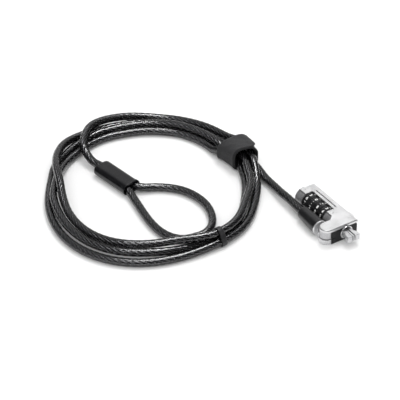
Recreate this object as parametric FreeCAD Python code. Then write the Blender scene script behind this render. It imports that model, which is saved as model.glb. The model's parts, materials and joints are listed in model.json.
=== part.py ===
import FreeCAD, Part
import math
import os

# Laptop cable lock: a combination lock head on a swivelling yoke, and a coiled
# vinyl-coated steel cable that ends in an eye loop.
# Millimetres.  +Z is up, the locking tip points to -Y, the push button is on +X.
# Origin: on the axis of the dials and the tip, at the face of the front pad.
# Everything lies on a flat table at Z = TABLE.

V = FreeCAD.Vector
UP = V(0, 0, 1)
ALONG = V(0, 1, 0)
ACROSS = V(1, 0, 0)

# ---------------------------------------------------------------- driving sizes
TABLE = -5.2

# cable
CABLE_R = 2.5
CORE_R = 1.75
COIL_CENTRE = (-69.2, 103.7)
COIL_LEAN = math.radians(-35)      # the coil's oval is turned by this from the head
COIL_MEAN_R = 68.1

# head
HEAD_RIGHT = 8.4
HEAD_BACK = 43.5
HEAD_TOP = 5.3
COVER_THICK = 1.7
COVER_LEFT = -2.6
COVER_UNDER = HEAD_TOP - COVER_THICK
DRUM_R = 5.2
PAD_THICK = 1.6
FRONT_WALL = 3.2                   # back of the wall behind the pad
PARTITION = (13.6, 16.2)           # wall between the button room and the dials
DIALS_END = 37.3
REAR_ROOM = (38.8, 42.7)           # room for the return spring
PIVOT = (-10.5, 4.8)
KNUCKLE_R = 4.2
KNUCKLE_UNDER = -1.3
FOOT_BACK = PIVOT[1] + KNUCKLE_R

# dials
DIALS = 4
DIAL_R = 5.0
DIAL_WIDTH = 5.0
DIAL_PITCH = 5.2
DIAL_START = 16.5
HUB_R = 3.4
WEB_THICK = 1.2
GROOVE_R = 2.95
SPINDLE_R = 1.8
RUNNING = 0.05                     # radial clearance of every running fit

# tip
BLADE_HALF = 0.45
TIP_END = -8.0
JAW_PIN = (1.9, 4.9)
JAW_PIN_R = 0.6
COLLAR_R = 4.2

# yoke and barrel
YOKE_EYE_R = 4.4
YOKE_TOP = -2.0
YOKE_UNDER = -5.0
BARREL_Z = -0.4
BARREL_FRONT = 11.0
BARREL_BACK = 29.6
BARREL_R = 4.8
BARREL_BACK_R = 4.0
BARREL_TURN = 2.5                  # degrees the folded barrel leans towards the head
PIN_R = 1.5

# strap rims, near then far: turn, then the middle and half size of the loop inwards
# from the outer strand, then the same for its height above the table
STRAP_RIMS = ((22.0, 3.55, 8.1, 7.95, 7.8), (39.0, 5.65, 10.5, 6.15, 6.1))
STRAP_THICK = 0.8
STRAP_CORNERS = (0.667, 0.5)       # upper and lower corners: a smaller power is squarer

# eye loop cover: its two ends in the coil's own axes, and its half thickness
COVER_ENDS = ((-31.1, 17.7), (-10.8, -3.4))
LOOP_COVER_R = 3.6
LEG_SIDE = 2.6                     # each cable leg sits this far off the middle


# ---------------------------------------------------------------- small helpers
def box(x, y, z):
    """Block between two limits on each axis."""
    return Part.makeBox(x[1] - x[0], y[1] - y[0], z[1] - z[0], V(x[0], y[0], z[0]))


def rod(radius, start, end, direction=ALONG, at=(0, 0)):
    """Cylinder along one row axis from start to end, centred on the other two."""
    if direction == ALONG:
        base = V(at[0], start, at[1])
    elif direction == UP:
        base = V(at[0], at[1], start)
    else:
        base = V(start, at[0], at[1])
    return Part.makeCylinder(radius, end - start, base, direction)


def tube(outer, inner, start, end, direction=ALONG, at=(0, 0)):
    return rod(outer, start, end, direction, at).cut(rod(inner, start, end, direction, at))


def plate(outline, low, high):
    """Flat plate from an XY outline, between two heights."""
    points = [V(x, y, low) for x, y in outline]
    return Part.Face(Part.makePolygon(points + points[:1])).extrude(V(0, 0, high - low))


def side_plate(outline, front, back):
    """Slab from an XZ outline, from front to back along Y."""
    points = [V(x, front, z) for x, z in outline]
    return Part.Face(Part.makePolygon(points + points[:1])).extrude(V(0, back - front, 0))


def joined(shapes):
    whole = shapes[0]
    for shape in shapes[1:]:
        whole = whole.fuse(shape)
    return whole.removeSplitter()


def without(shape, cutters):
    for cutter in cutters:
        shape = shape.cut(cutter)
    return shape


def edges_near(shape, test):
    """Edges whose middle point passes the test."""
    found = []
    for edge in shape.Edges:
        middle = edge.valueAt((edge.FirstParameter + edge.LastParameter) / 2)
        if test(middle):
            found.append(edge)
    return found


def spring(radius, wire, start, end, turns):
    """Compression spring along +Y round the spindle axis, with its two ends clear."""
    pitch = (end - start - 2 * wire) / turns
    helix = Part.makeHelix(pitch, end - start - 2 * wire, radius)
    profile = Part.Wire([Part.Circle(V(radius, 0, 0), ALONG, wire).toShape()])
    coil = Part.Wire(helix.Edges).makePipeShell([profile], True, True)
    coil.rotate(V(0, 0, 0), ACROSS, -90)
    coil.translate(V(0, start + wire, 0))
    return coil


def folded(shape):
    """Lean a barrel part towards the head, about the pivot pin."""
    turned = shape.copy()
    turned.rotate(V(PIVOT[0], PIVOT[1], 0), UP, -BARREL_TURN)
    return turned


# ---------------------------------------------------------------- cable route
def coil_point(right, back, up):
    """Point given in the coil's own axes; up is the height of a cable above the table."""
    cos = math.cos(COIL_LEAN)
    sin = math.sin(COIL_LEAN)
    x = COIL_CENTRE[0] + cos * right - sin * back
    y = COIL_CENTRE[1] + sin * right + cos * back
    return V(x, y, TABLE + CABLE_R + up)


def coil_radius(turn):
    """Radius of the outermost strand: an oval, a little fuller at the near
    left, and slack where it is loosest at the near right."""
    oval = -5.9 * math.cos(2 * turn) + 0.5 * math.sin(2 * turn)
    bulge = 1.6 * math.cos(3 * turn) + 0.5 * math.sin(3 * turn)
    away = (math.degrees(turn) - 323 + 180) % 360 - 180
    slack = 4.2 * math.exp(-((away / 22) ** 2))
    return COIL_MEAN_R + oval + bulge + slack


# Where the cable runs in the bundle: (degrees of turn, inwards from the outer
# strand, up from the table).  The strands roll over one another on the way round.
FIRST_TURN = [
    (27, 0.2, 1.45), (34, 1.8, 1.35), (38, 2.7, 1.3), (43, 3.5, 0.8), (48, 4.5, 0.3),
    (52, 5.0, 0.1), (64, 5.1, 0.0), (77, 5.1, 0.0), (90, 5.4, 0.0),
    (108, 5.7, 0.0), (125, 2.6, 0.0), (135, 0.6, 1.2), (145, 0.0, 3.4), (155, 0.9, 5.4),
    (165, 2.4, 7.2), (175, 4.4, 8.6), (186, 6.8, 8.3), (198, 8.3, 6.2), (211, 9.5, 4.6),
    (225, 10.2, 4.6), (247, 10.3, 4.8), (270, 10.4, 5.2), (287, 9.4, 5.3),
    (298, 5.6, 5.6), (305, 3.3, 5.7), (309, 2.9, 5.7), (317, 2.9, 5.7), (338, 4.8, 5.3), (352, 3.8, 4.9),
]
SECOND_TURN = [
    (360, 3.5, 4.8), (368, 4.5, 5.8), (375, 5.1, 6.5), (382, 5.4, 6.6), (390, 8.2, 6.4),
    (394, 10.3, 5.7), (398, 11.95, 4.4), (403, 13.8, 1.9), (408, 14.0, 0.3), (412, 13.6, 0.0),
    (424, 13.3, 0.0), (435, 13.5, 0.0), (442, 14.3, 0.1), (450, 15.1, 0.3),
    (468, 15.2, 0.0), (485, 13.0, 0.0), (502, 10.4, 0.0), (510, 8.3, 0.0),
    (517, 6.8, 0.4), (525, 5.9, 1.8), (535, 4.9, 3.4), (546, 4.1, 3.9), (558, 3.2, 4.1),
    (571, 4.3, 3.4), (585, 5.0, 3.3), (607, 5.2, 3.2), (630, 5.25, 3.1), (640, 5.2, 2.5),
    (648, 5.2, 1.4), (658, 5.2, 0.5), (670, 5.2, 0.8), (680, 5.2, 0.7), (698, 6.2, 0.1),
]
THIRD_TURN = [
    (720, 6.6, 0.0), (735, 7.2, 0.6), (742, 7.6, 1.5), (750, 7.6, 1.3), (758, 7.85, 1.3),
    (763, 8.6, 1.5), (768, 9.2, 2.5), (772, 9.3, 2.9), (795, 9.4, 3.2),
    (802, 9.7, 2.9), (810, 10.1, 2.2), (828, 10.5, 1.9), (845, 7.6, 1.0),
    (855, 5.8, 0.1), (865, 4.1, 0.0), (871, 3.0, 0.0), (878, 1.4, 0.0), (886, 0.7, 0.0),
    (895, 0.9, 0.0), (906, 0.5, 0.0), (918, 0.0, 0.0), (945, 0.0, 0.0), (990, 0.0, 0.0),
    (1010, 0.0, 0.3), (1026, 0.0, 0.8), (1037, 0.0, 0.7), (1060, 0.0, 0.1),
]
LAST_PART = [
    (1080, -0.3, 0.9), (1088, 0.0, 2.9), (1095, 0.1, 5.6), (1101, -0.1, 6.7),
    (1110, -0.4, 6.6), (1118, -0.95, 4.95), (1123, -0.95, 3.4), (1128, -0.5, 1.75),
    (1132, -0.3, 1.3), (1145, -0.3, 0.9), (1157, -0.4, 0.2), (1170, 0.0, 0.2),
    (1188, 1.4, 3.3), (1205, 4.0, 6.2), (1216, 9.6, 6.3),
]
LANES = FIRST_TURN + SECOND_TURN + THIRD_TURN + LAST_PART

# Neck from the coil down to the loop cover, then the eye loop itself:
# (right, back, up) in the coil's own axes.
NECK = [(-42.1, 32.8, 4.7), (-38.9, 26.2, 2.8), (-35.0, 21.4, 1.6)]
EYE_LOOP = [
    (-5.2, -2.2, 0.7), (1.5, -1.4, 0.2), (9.4, -1.2, 0.0), (18.3, -3.2, 0.0),
    (27.3, -9.0, 0.0), (34.4, -18.1, 0.0), (38.0, -29.1, 0.0), (37.9, -38.5, 0.0),
    (34.6, -45.4, 0.0), (28.3, -49.6, 0.0), (21.0, -51.6, 0.0), (13.8, -49.3, 0.0),
    (6.4, -42.4, 0.0), (0.3, -32.6, 0.0), (-5.7, -20.0, 0.0), (-10.6, -9.5, 0.4),
]


def lane(turn):
    """Smooth curve through the lane list: inwards and up at this angle."""
    i = 0
    while i < len(LANES) - 2 and LANES[i + 1][0] <= turn:
        i += 1
    before = LANES[max(i - 1, 0)]
    low = LANES[i]
    high = LANES[i + 1]
    after = LANES[min(i + 2, len(LANES) - 1)]
    width = high[0] - low[0]
    s = (turn - low[0]) / width
    values = []
    for k in (1, 2):
        slope_low = (high[k] - before[k]) / (high[0] - before[0]) * width
        slope_high = (after[k] - low[k]) / (after[0] - low[0]) * width
        start_part = (2 * s**3 - 3 * s**2 + 1) * low[k] + (s**3 - 2 * s**2 + s) * slope_low
        end_part = (3 * s**2 - 2 * s**3) * high[k] + (s**3 - s**2) * slope_high
        values.append(start_part + end_part)
    return values


def strand_point(turn, inwards, up):
    angle = math.radians(turn)
    radius = coil_radius(angle) - inwards
    return coil_point(radius * math.cos(angle), radius * math.sin(angle), up)


def coil_points():
    points = []
    for turn in range(27, 1214, 5):
        inwards, up = lane(turn)
        points.append(strand_point(turn, inwards, max(up, 0.0)))
    return points


def cover_frame():
    """Start, direction and sideways direction of the loop cover, on the table plane."""
    start = coil_point(COVER_ENDS[0][0], COVER_ENDS[0][1], LOOP_COVER_R - CABLE_R)
    end = coil_point(COVER_ENDS[1][0], COVER_ENDS[1][1], LOOP_COVER_R - CABLE_R)
    ahead = (end - start).normalize()
    return start, ahead, UP.cross(ahead)


def cover_point(distance, side):
    start, ahead, sideways = cover_frame()
    return start + ahead * distance + sideways * side


def barrel_point(distance, drop=0.0):
    """Point on the folded barrel's axis, at this distance along Y before folding."""
    lean = math.radians(BARREL_TURN)
    reach = distance - PIVOT[1]
    x = PIVOT[0] + reach * math.sin(lean)
    y = PIVOT[1] + reach * math.cos(lean)
    return V(x, y, BARREL_Z - drop)


def cable_points():
    points = [barrel_point(y) for y in (16, 20.2, 24, 28, 32, 36, 40, 44)]
    points += [barrel_point(52, 0.5), V(-7.4, 62, -1.9), V(-6.4, 73, -2.4), V(-5.2, 84, -1.2)]
    points += coil_points()
    points += [coil_point(*p) for p in NECK]
    points += [cover_point(d, s) for d, s in ((0.5, 1.3), (7, 2.5), (12, LEG_SIDE))]
    points += [cover_point(d, LEG_SIDE) for d in (16, 20, 24, 26.5)]
    points += [coil_point(*p) for p in EYE_LOOP]
    points += [cover_point(d, -LEG_SIDE) for d in (28, 24, 20, 16, 12)]
    return points


def cable_curve():
    curve = Part.BSplineCurve()
    curve.interpolate(cable_points())
    return curve


def across_cable(curve, at):
    """Level and upright directions square to the cable at this place."""
    ahead = curve.tangent(at)[0]
    level = UP.cross(ahead).normalize()
    return level, ahead.cross(level).normalize()


def cable_skin(curve, places, radius):
    """Round skin of a cable as one smooth face: eight lines of poles along the route."""
    rows = []
    for k in range(9):
        angle = math.radians(45 * k)
        reach = radius * (math.sqrt(2) if k % 2 else 1)
        points = []
        for at in places:
            level, upright = across_cable(curve, at)
            offset = level * (reach * math.cos(angle)) + upright * (reach * math.sin(angle))
            points.append(curve.value(at) + offset)
        row = Part.BSplineCurve()
        row.interpolate(Points=points, Parameters=places)
        rows.append(row)
    count = len(rows[0].getPoles())
    weights = [[math.sqrt(0.5) if k % 2 else 1.0] * count for k in range(9)]
    skin = Part.BSplineSurface()
    skin.buildFromPolesMultsKnots(
        [row.getPoles() for row in rows], [3, 2, 2, 2, 3], rows[0].getMultiplicities(),
        [0, 0.25, 0.5, 0.75, 1], rows[0].getKnots(), False, False, 2, 3, weights)
    return skin.toShape()


def end_ring(curve, at, radius):
    level, upright = across_cable(curve, at)
    circle = Part.Circle(curve.value(at), level.cross(upright), radius)
    circle.XAxis = level
    return Part.Wire([circle.toShape()])


def cable_rod(curve, first, last, outer, inner=None):
    """Solid rod, or tube if inner is given, along part of the cable route."""
    steps = int((last - first) / 3.0)
    places = [first + (last - first) * i / steps for i in range(steps + 1)]
    faces = [cable_skin(curve, places, outer)]
    rings = [[end_ring(curve, at, outer)] for at in (first, last)]
    if inner:
        faces.append(cable_skin(curve, places, inner))
        rings[0].append(end_ring(curve, first, inner))
        rings[1].append(end_ring(curve, last, inner))
    faces += [Part.Face(wires, "Part::FaceMakerBullseye") for wires in rings]
    shell = Part.Shell(faces)
    shell.sewShape()
    solid = Part.Solid(Part.Shell(shell.Faces))
    solid.fix(0.001, 0.001, 0.001)
    return solid


CABLE = cable_curve()
JACKET_START = CABLE.parameter(barrel_point(20.2))


def cable_core():
    return cable_rod(CABLE, CABLE.FirstParameter, CABLE.LastParameter, CORE_R)


def cable_jacket():
    return cable_rod(CABLE, JACKET_START, CABLE.LastParameter, CABLE_R, CORE_R)


# ---------------------------------------------------------------- eye loop fittings
def stadium(radius, half_span, start, end):
    """Round-ended flat bar along the loop cover's axis."""
    left = Part.makeCylinder(radius, end - start, V(0, half_span, 0), ACROSS)
    right = Part.makeCylinder(radius, end - start, V(0, -half_span, 0), ACROSS)
    middle = Part.makeBox(end - start, 2 * half_span, 2 * radius, V(0, -half_span, -radius))
    bar = joined([left, right, middle])
    bar.translate(V(start, 0, 0))
    return bar


def on_cover_axis(shape):
    start, ahead, _ = cover_frame()
    placed = shape.copy()
    placed.rotate(V(0, 0, 0), UP, math.degrees(math.atan2(ahead.y, ahead.x)))
    placed.translate(start)
    return placed


def loop_ferrule():
    """Flat crimped sleeve over the two cable legs."""
    body = stadium(2.95, LEG_SIDE, 13.0, 25.0)
    holes = [
        Part.makeCylinder(CABLE_R + 0.05, 14, V(12, s * LEG_SIDE, 0), ACROSS) for s in (1, -1)
    ]
    return on_cover_axis(without(body, holes))


def loop_cover():
    """Moulded cover: rounded shoulders at the neck, a small lip where the legs leave."""
    body = stadium(LOOP_COVER_R, LEG_SIDE, 0.0, 29.4)
    neck_end = edges_near(body, lambda p: p.x < 0.01)
    body = body.makeFillet(2.2, neck_end)
    lip = stadium(LOOP_COVER_R + 0.3, LEG_SIDE, 27.6, 29.4)
    lip = lip.makeFillet(0.28, edges_near(lip, lambda p: p.x < 27.61 or p.x > 29.39))
    body = joined([body, lip])
    floor_cut = Part.makeBox(40, 30, 2, V(-5, -15, -LOOP_COVER_R - 2))
    legs_room = stadium(2.62, LEG_SIDE, 6.0, 31.0)
    crimp_room = stadium(3.0, LEG_SIDE, 12.9, 25.1)
    mouth = stadium(2.9, LEG_SIDE + 0.5, 27.0, 31.0)
    neck_room = Part.makeCylinder(2.9, 9, V(-1.5, 1.15, 0), V(1, 0.16, 0))
    cutters = [floor_cut, legs_room, crimp_room, mouth, neck_room]
    return on_cover_axis(without(body, cutters))


# ---------------------------------------------------------------- strap and tie
def band(first, last, strands, gap, thick):
    """Closed band round the bundle between two angles; strands are (inwards, up)."""
    centre_in = sum(s[0] for s in strands) / len(strands)
    centre_up = sum(s[1] for s in strands) / len(strands)
    steps = 6
    route = []
    for i in range(steps + 1):
        turn = first + (last - first) * i / steps
        route.append(strand_point(turn, centre_in, centre_up))
    curve = Part.BSplineCurve()
    curve.interpolate(route)
    spine = Part.Wire([curve.toShape()])
    heading = curve.tangent(curve.FirstParameter)[0]
    inward = UP.cross(heading)
    solids = []
    for reach in (CABLE_R + gap + thick, CABLE_R + gap):
        wire = rounded_outline(route[0], inward, strands, (centre_in, centre_up), reach)
        maker = Part.BRepOffsetAPI.MakePipeShell(spine)
        maker.setBiNormalMode(UP)
        maker.add(wire)
        maker.build()
        maker.makeSolid()
        solids.append(maker.shape())
    return solids[0].cut(solids[1])


def rounded_outline(origin, inward, strands, centre, reach):
    """Outline a fixed distance outside a convex ring of strand centres."""
    edges = []
    count = len(strands)
    corners = [V(s[0] - centre[0], s[1] - centre[1], 0) for s in strands]

    def placed(p):
        return origin + inward * p.x + UP * p.y

    def outward(i):
        side = corners[(i + 1) % count] - corners[i]
        return V(side.y, -side.x, 0).normalize() * reach

    for i in range(count):
        here = corners[i]
        there = corners[(i + 1) % count]
        now = outward(i)
        later = outward((i + 1) % count)
        edges.append(Part.makeLine(placed(here + now), placed(there + now)))
        bisector = (now + later).normalize() * reach
        arc = Part.Arc(placed(there + now), placed(there + bisector), placed(there + later))
        edges.append(arc.toShape())
    return Part.Wire(edges)


def strap_rim(rim, shrink):
    """Rounded loop square to the bundle at one rim of the strap, drawn in by shrink."""
    turn, centre_in, half_in, centre_up, half_up = rim
    points = []
    for k in range(24):
        angle = math.radians(15 * k)
        power = STRAP_CORNERS[0] if k <= 12 else STRAP_CORNERS[1]
        side = math.copysign(abs(math.cos(angle)) ** power, math.cos(angle))
        rise = math.copysign(abs(math.sin(angle)) ** power, math.sin(angle))
        inwards = centre_in + side * (half_in - shrink)
        height = centre_up + rise * (half_up - shrink)
        points.append(strand_point(turn, inwards, height - CABLE_R))
    curve = Part.BSplineCurve()
    curve.interpolate(Points=points, PeriodicFlag=True)
    return Part.Wire([curve.toShape()])


def strap_skin(shrink):
    """Solid inside the strap's surface, following the bundle from rim to rim."""
    near, far = STRAP_RIMS
    rims = []
    for k in range(5):
        share = k / 4
        rims.append([a + (b - a) * share for a, b in zip(near, far)])
    return Part.makeLoft([strap_rim(rim, shrink) for rim in rims], True, False)


def strap():
    """Hook-and-loop strap: a loose loop round four strands, lower at its far rim."""
    return strap_skin(0).cut(strap_skin(STRAP_THICK))


def tie_band():
    """Narrow band round three strands at the near right."""
    three = [(0.0, 0.8), (5.2, 0.8), (2.9, 5.7)]
    return band(307.9, 311.1, three, 0.14, 0.6)


# ---------------------------------------------------------------- cable end and yoke
def cable_end_stud():
    """Steel terminal crimped on the core; its flange turns inside the barrel."""
    centre = (PIVOT[0], BARREL_Z)
    flange = rod(2.7, 13.6, 15.5, at=centre)
    shank = rod(2.15, 15.5, 20.1, at=centre)
    bore = rod(CORE_R, 16.0, 20.2, at=centre)
    return folded(joined([flange, shank]).cut(bore))


def retaining_bush():
    return folded(tube(2.8, 2.2, 15.7, 19.9, at=(PIVOT[0], BARREL_Z)))


def yoke():
    """Casting: flat eye, neck, front rim and the tube that carries the sleeve."""
    px, py = PIVOT
    centre = (px, BARREL_Z)
    eye = rod(YOKE_EYE_R, YOKE_UNDER, YOKE_TOP, UP, PIVOT)
    neck = box((px - 2.6, px + 2.6), (py, BARREL_FRONT + 0.2), (YOKE_UNDER, YOKE_TOP))
    gusset_side = [(py + 5.0, YOKE_TOP - 0.1), (BARREL_FRONT + 0.2, YOKE_TOP - 0.1),
                   (BARREL_FRONT + 0.2, 1.2)]
    gusset_points = [V(px - 2.2, y, z) for y, z in gusset_side]
    gusset = Part.Face(Part.makePolygon(gusset_points + gusset_points[:1]))
    gusset = gusset.extrude(V(4.4, 0, 0))
    rim = rod(BARREL_R, BARREL_FRONT, BARREL_FRONT + 1.0, at=centre)
    rim = rim.makeChamfer(0.3, edges_near(rim, lambda p: p.y < BARREL_FRONT + 0.01))
    pipe = rod(3.3, BARREL_FRONT + 0.9, 28.8, at=centre)
    body = joined([eye, neck, gusset, rim, pipe])
    pin_hole = rod(PIN_R + RUNNING, YOKE_UNDER - 1, YOKE_TOP + 1, UP, PIVOT)
    pin_head_room = rod(2.55, YOKE_UNDER - 1, YOKE_UNDER + 0.55, UP, PIVOT)
    cavity = rod(2.8, 13.3, 30, at=centre)
    return folded(without(body, [pin_hole, pin_head_room, cavity]))


def barrel_sleeve():
    """Tapered sleeve over the yoke's tube, closed round the cable at the back."""
    start = BARREL_FRONT + 1.0
    centre = V(PIVOT[0], start, BARREL_Z)
    taper = Part.makeCone(BARREL_R - 0.1, BARREL_BACK_R, BARREL_BACK - start, centre, ALONG)
    taper = taper.makeFillet(0.7, edges_near(taper, lambda p: p.y > BARREL_BACK - 0.01))
    pipe_room = rod(3.3, start - 1, 28.8, at=(PIVOT[0], BARREL_Z))
    cable_hole = rod(CABLE_R + 0.1, start, 31, at=(PIVOT[0], BARREL_Z))
    return folded(without(taper, [pipe_room, cable_hole]))


# ---------------------------------------------------------------- lock head, fixed parts
def foot_outline():
    """Plan of the foot that carries the knuckle, without its round end."""
    return [(PIVOT[0], PIVOT[1] - KNUCKLE_R), (-3.4, PIVOT[1] - KNUCKLE_R),
            (-3.4, FOOT_BACK + 1.8), (-5.4, FOOT_BACK), (PIVOT[0], FOOT_BACK)]


def housing_block():
    """Round drum, square right side, foot and knuckle, before hollowing."""
    drum_front = rod(DRUM_R, PAD_THICK, PARTITION[1])
    drum_back = rod(DRUM_R, DIALS_END, HEAD_BACK)
    right_side = [(0, TABLE), (HEAD_RIGHT - 0.5, TABLE), (HEAD_RIGHT, TABLE + 0.5),
                  (HEAD_RIGHT, COVER_UNDER), (0, COVER_UNDER)]
    right = side_plate(right_side, PAD_THICK, HEAD_BACK)
    foot = plate(foot_outline(), KNUCKLE_UNDER, COVER_UNDER)
    foot = foot.cut(box((-20, 0), (-5, PAD_THICK), (-6, 6)))
    knuckle = rod(KNUCKLE_R, KNUCKLE_UNDER, COVER_UNDER, UP, PIVOT)
    web = box((PIVOT[0] + 0.4, -3.0), (PAD_THICK, PIVOT[1]), (TABLE + 0.1, KNUCKLE_UNDER + 0.1))
    web = web.cut(rod(YOKE_EYE_R + 0.15, TABLE - 1, KNUCKLE_UNDER, UP, PIVOT))
    return joined([drum_front, drum_back, right, foot, knuckle, web])


def screw_places():
    return [(7.3, 4.4), (7.3, 14.9), (7.3, 40.3)]


def housing():
    """Die-cast body of the lock head."""
    body = housing_block()
    body = body.makeFillet(1.3, edges_near(
        body, lambda p: abs(p.x - HEAD_RIGHT) < 0.01 and abs(p.y - HEAD_BACK) < 0.01))
    dial_room = rod(DIAL_R + 0.35, PARTITION[1], DIALS_END)
    left_open = box((-8, 0.6), (PARTITION[1], DIALS_END), (-7, 7))
    front_room = box((-3.6, 6.4), (FRONT_WALL, PARTITION[0]), (-2.7, 2.1))
    front_top = box((-2.6, 6.4), (FRONT_WALL, PARTITION[0]), (2.0, COVER_UNDER + 2))
    collar_hole = rod(COLLAR_R, 0, FRONT_WALL)
    spindle_hole = rod(SPINDLE_R + 0.1, PARTITION[0] - 1, PARTITION[1] + 1)
    bush_hole = rod(2.6, DIALS_END - 0.1, REAR_ROOM[1])
    button_hole = box((6.3, 9), (6.7, 11.9), (-2.5, 3.1))
    spring_pocket = box((4.4, 6.6), (16.7, 36.9), (-2.2, 2.2))
    pin_hole = rod(PIN_R, KNUCKLE_UNDER - 1, 3.2, UP, PIVOT)
    cutters = [dial_room, left_open, front_room, front_top, collar_hole, spindle_hole,
               bush_hole, button_hole, spring_pocket, pin_hole]
    for side in (1, -1):
        cutters.append(rod(JAW_PIN_R, -4.2, 0, UP, (side * JAW_PIN[0], JAW_PIN[1])))
    for place in screw_places():
        cutters.append(rod(0.6, TABLE - 1, COVER_UNDER + 1, UP, place))
        cutters.append(rod(1.3, TABLE - 1, TABLE + 0.9, UP, place))
    return without(body, cutters)


def top_cover():
    """L-shaped satin plate: bevelled edge, dial window and one long groove."""
    outline = plate([(COVER_LEFT, 0), (HEAD_RIGHT, 0), (HEAD_RIGHT, HEAD_BACK),
                     (COVER_LEFT, HEAD_BACK)], COVER_UNDER, HEAD_TOP)
    foot = plate([(PIVOT[0], 0.3), (COVER_LEFT + 1, 0.3), (COVER_LEFT + 1, FOOT_BACK + 3.6),
                  (COVER_LEFT, FOOT_BACK + 2.6), (-5.4, FOOT_BACK), (PIVOT[0], FOOT_BACK)],
                 COVER_UNDER, HEAD_TOP)
    front_strip = box((PIVOT[0], 0), (0, 1), (COVER_UNDER, HEAD_TOP))
    round_end = rod((FOOT_BACK) / 2, COVER_UNDER, HEAD_TOP, UP, (PIVOT[0], FOOT_BACK / 2))
    body = joined([outline, foot, front_strip, round_end])
    body = body.makeFillet(1.3, edges_near(
        body, lambda p: abs(p.x - HEAD_RIGHT) < 0.01 and abs(p.y - HEAD_BACK) < 0.01))
    rim = edges_near(body, lambda p: abs(p.z - HEAD_TOP) < 0.01)
    body = body.makeChamfer(0.45, rim)
    drum = rod(DRUM_R, 1, HEAD_BACK + 1)
    collar_room = rod(COLLAR_R, -1, 1.5)
    window = box((-4, 3.0), (PARTITION[1], DIALS_END), (COVER_UNDER - 1, HEAD_TOP + 1))
    groove = box((4.5, 5.5), (16.8, 36.6), (HEAD_TOP - 0.6, HEAD_TOP + 1))
    marks = [box((0.0, 0.5), (y, y + 1.1), (HEAD_TOP - 0.15, HEAD_TOP + 1)) for y in (12.8, 40.6)]
    cutters = [drum, collar_room, window, groove] + marks
    for place in screw_places():
        cutters.append(rod(0.6, COVER_UNDER - 1, 4.5, UP, place))
    return without(body, cutters)


def front_pad():
    """Soft pad on the front face, with clipped right corners and a notch by the knuckle."""
    left = PIVOT[0] + 0.4
    right = 7.9
    low = TABLE + 0.1
    high = COVER_UNDER
    outline = [(left, low), (right - 1.2, low), (right, low + 1.2), (right, high - 1.2),
               (right - 0.7, high), (left, high)]
    pad = side_plate(outline, 0, PAD_THICK)
    collar_hole = rod(COLLAR_R, -1, 3)
    eye_room = rod(YOKE_EYE_R + 0.15, TABLE - 1, KNUCKLE_UNDER, UP, PIVOT)
    knuckle_room = rod(KNUCKLE_R, KNUCKLE_UNDER - 0.1, 6, UP, PIVOT)
    notch = box((left - 1, left + 2.4), (-1, 3), (KNUCKLE_UNDER - 0.5, KNUCKLE_UNDER))
    return without(pad, [collar_hole, eye_room, knuckle_room, notch])


def tip_collar():
    ring = rod(COLLAR_R, -0.8, FRONT_WALL)
    ring = ring.makeFillet(0.25, edges_near(ring, lambda p: p.y < -0.79))
    return ring.cut(rod(3.6, -2, 5))


def pivot_pin():
    head = rod(2.45, YOKE_UNDER - 0.1, YOKE_UNDER + 0.5, UP, PIVOT)
    return head.fuse(rod(PIN_R, YOKE_UNDER, 3.2, UP, PIVOT)).removeSplitter()


def pivot_washer():
    return tube(3.8, PIN_R, YOKE_TOP + 0.05, KNUCKLE_UNDER, UP, PIVOT)


def jaw_pins():
    pins = [rod(JAW_PIN_R, -4.2, 2.6, UP, (s * JAW_PIN[0], JAW_PIN[1])) for s in (1, -1)]
    return Part.makeCompound(pins)


def index_spring():
    """Leaf beside the dials with one rounded finger per dial."""
    leaf = box((6.2, 6.5), (17.0, 36.6), (-1.9, 1.9))
    parts = [leaf]
    for i in range(DIALS):
        middle = DIAL_START + DIAL_PITCH * i + DIAL_WIDTH / 2
        parts.append(box((5.6, 6.3), (middle - 0.8, middle + 0.8), (-0.4, 0.4)))
        parts.append(rod(0.5, middle - 0.8, middle + 0.8, at=(5.56, 0)))
    return joined(parts)


def spindle_bush():
    return tube(2.6, SPINDLE_R + RUNNING, DIALS_END, REAR_ROOM[0])


def cover_screws():
    """Short screws from below; the thread is drawn as a plain shank."""
    screws = []
    for place in screw_places():
        head = rod(1.25, TABLE + 0.1, TABLE + 0.9, UP, place)
        shank = rod(0.6, TABLE + 0.8, 4.4, UP, place)
        slot = box((place[0] - 1.3, place[0] + 1.3), (place[1] - 0.18, place[1] + 0.18),
                   (TABLE, TABLE + 0.45))
        screws.append(head.fuse(shank).removeSplitter().cut(slot))
    return Part.makeCompound(screws)


# ---------------------------------------------------------------- dials
def dial_front(number):
    return DIAL_START + DIAL_PITCH * number


def dial_ring(number):
    """Number ring with a shallow finger groove between every two digits."""
    start = dial_front(number)
    ring = rod(DIAL_R, start, start + DIAL_WIDTH)
    ring = ring.makeChamfer(0.25, ring.Edges[:1] + ring.Edges[2:3])
    cutters = [rod(HUB_R, start - 1, start + DIAL_WIDTH + 1)]
    for i in range(10):
        angle = math.radians(36 * i + 18)
        reach = DIAL_R + 0.42
        at = (reach * math.sin(angle), reach * math.cos(angle))
        cutters.append(rod(0.6, start - 1, start + DIAL_WIDTH + 1, at=at))
    return without(ring, cutters)


def code_hub(number):
    """Code hub: a web with one gate, then a groove the spindle's fin runs in."""
    start = dial_front(number)
    body = rod(HUB_R, start, start + DIAL_WIDTH)
    bore = rod(SPINDLE_R + RUNNING, start - 1, start + WEB_THICK + 1)
    groove = rod(GROOVE_R, start + WEB_THICK, start + DIAL_WIDTH + 1)
    gate = box((-0.6, 0.6), (start - 1, start + WEB_THICK + 1), (0, GROOVE_R))
    return without(body, [bore, groove, gate])


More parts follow.
